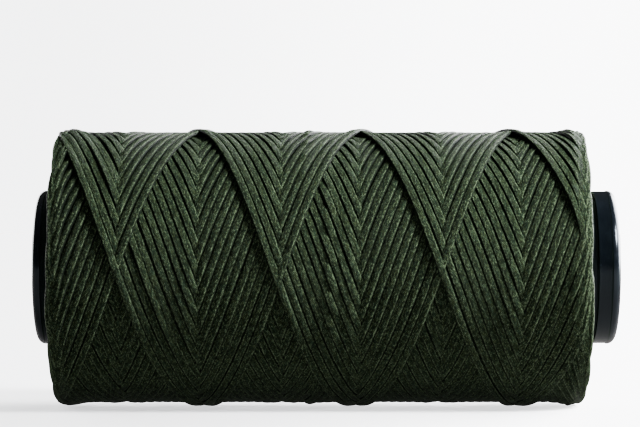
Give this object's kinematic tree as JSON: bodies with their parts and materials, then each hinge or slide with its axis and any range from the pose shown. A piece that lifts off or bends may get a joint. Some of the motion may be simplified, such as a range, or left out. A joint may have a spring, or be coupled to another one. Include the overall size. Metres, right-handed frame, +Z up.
{
  "type": "waxed thread spool",
  "caption": "Cross-wound spool of dark green flat-braided waxed thread on a hollow black plastic core whose ends stand out as rounded rings, lying on its side.",
  "frame": {"origin": "middle of the core on its bore axis, which is the centre of the whole spool's box", "axes": "+X along the bore axis, towards the end where more of the core stands out of the thread; +Z up, with the spool lying on its side"},
  "size_m": [0.08, 0.038, 0.038],
  "materials": {
    "core": "black moulded plastic, satin",
    "end_bush": "black moulded plastic, glossy rounded rim",
    "thread": "dark green waxed flat braid with a soft waxy sheen"
  },
  "bodies": {
    "root": {"core_tube": "core", "left_end_bush": "end_bush", "right_end_bush": "end_bush", "thread_winding": "thread"}
  },
  "joints": []
}
